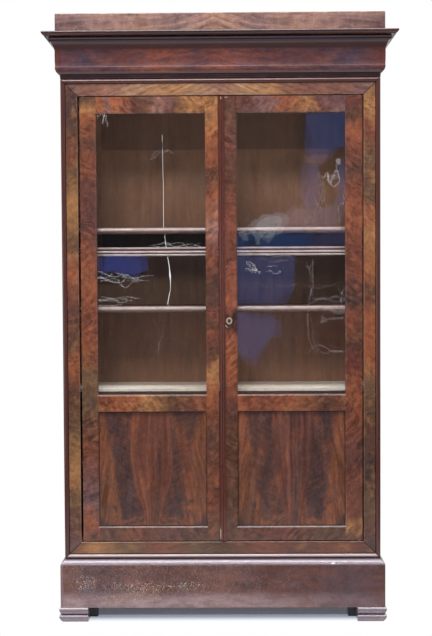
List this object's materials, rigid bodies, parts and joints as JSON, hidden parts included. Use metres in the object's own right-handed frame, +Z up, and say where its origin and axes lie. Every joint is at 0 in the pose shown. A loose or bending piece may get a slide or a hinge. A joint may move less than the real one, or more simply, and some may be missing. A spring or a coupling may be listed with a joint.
{
  "type": "bookcase with glass doors",
  "caption": "Tall mahogany bookcase with a mitred front frame, doors with glass above and panels below, moulded cornice and plinth, adjustable shelves on notched racks.",
  "frame": {"origin": "centre of the overall box at floor level", "axes": "+Z up, +X to the right seen from the front, +Y towards the back, doors face -Y"},
  "size_m": [1.322, 0.433, 2.2922],
  "materials": {
    "flame_veneer": "french polished flame mahogany veneer",
    "band_veneer": "french polished cross-grained mahogany veneer",
    "solid_mahogany": "polished solid mahogany mouldings",
    "side_wood": "polished mahogany",
    "inside_wood": "unpolished, darkened by age",
    "shelf_wood": "waxed edge, bare top",
    "glass": "old drawn glass, slightly wavy",
    "brass": "aged brass",
    "iron": "dark iron"
  },
  "bodies": {
    "case": {"attic_front": "flame_veneer", "attic_returns": "flame_veneer", "frieze_front": "flame_veneer", "frieze_returns": "flame_veneer", "plinth_front": "flame_veneer", "plinth_returns": "flame_veneer", "frame_top": "band_veneer", "frame_bottom": "band_veneer", "frame_left": "band_veneer", "frame_right": "band_veneer", "cornice_slab": "solid_mahogany", "plinth_moulding": "solid_mahogany", "feet_front": "solid_mahogany", "feet_back": "solid_mahogany", "side_left": "side_wood", "side_right": "side_wood", "plinth_back": "inside_wood", "foot_blocks": "inside_wood", "case_bottom": "inside_wood", "case_top": "inside_wood", "back_frame": "inside_wood", "back_boards": "inside_wood", "cornice_back_rail": "inside_wood", "racks_left": "inside_wood", "racks_right": "inside_wood", "shelf_cleats": "inside_wood", "shelf_top": "shelf_wood", "shelf_reeded": "shelf_wood", "spare_board": "shelf_wood", "shelf_middle": "shelf_wood", "shelf_fixed": "shelf_wood", "shelf_lower": "shelf_wood", "pivot_sockets": "brass"},
    "left_door": {"left_outer_stile": "flame_veneer", "left_inner_stile": "flame_veneer", "left_top_rail": "flame_veneer", "left_middle_rail": "flame_veneer", "left_bottom_rail": "flame_veneer", "left_panel": "flame_veneer", "left_glass": "glass", "left_glazing_beads": "inside_wood", "left_pivot_pins": "brass", "strike_plate": "brass", "bolt_plates": "brass"},
    "right_door": {"right_outer_stile": "flame_veneer", "right_inner_stile": "flame_veneer", "right_top_rail": "flame_veneer", "right_middle_rail": "flame_veneer", "right_bottom_rail": "flame_veneer", "right_panel": "flame_veneer", "right_glass": "glass", "right_glazing_beads": "inside_wood", "right_pivot_pins": "brass", "astragal": "solid_mahogany", "lock_case": "iron", "escutcheon": "brass"},
    "lock_bolt": {"lock_bolt": "brass"},
    "left_top_bolt": {"left_top_bolt": "iron"},
    "left_bottom_bolt": {"left_bottom_bolt": "iron"}
  },
  "joints": [
    {"name": "left_door", "type": "hinge", "parent": "case", "child": "left_door", "pos_m": [-0.517, -0.1385, 0.3], "axis": [0, 0, -1], "range_deg": [0, 110]},
    {"name": "right_door", "type": "hinge", "parent": "case", "child": "right_door", "pos_m": [0.52, -0.1385, 0.3], "axis": [0, 0, 1], "range_deg": [0, 110]},
    {"name": "lock_bolt", "type": "slide", "parent": "right_door", "child": "lock_bolt", "axis": [-1, 0, 0], "range_m": [0, 0.011]},
    {"name": "left_top_bolt", "type": "slide", "parent": "left_door", "child": "left_top_bolt", "axis": [0, 0, 1], "range_m": [0, 0.014]},
    {"name": "left_bottom_bolt", "type": "slide", "parent": "left_door", "child": "left_bottom_bolt", "axis": [0, 0, -1], "range_m": [0, 0.014]}
  ]
}
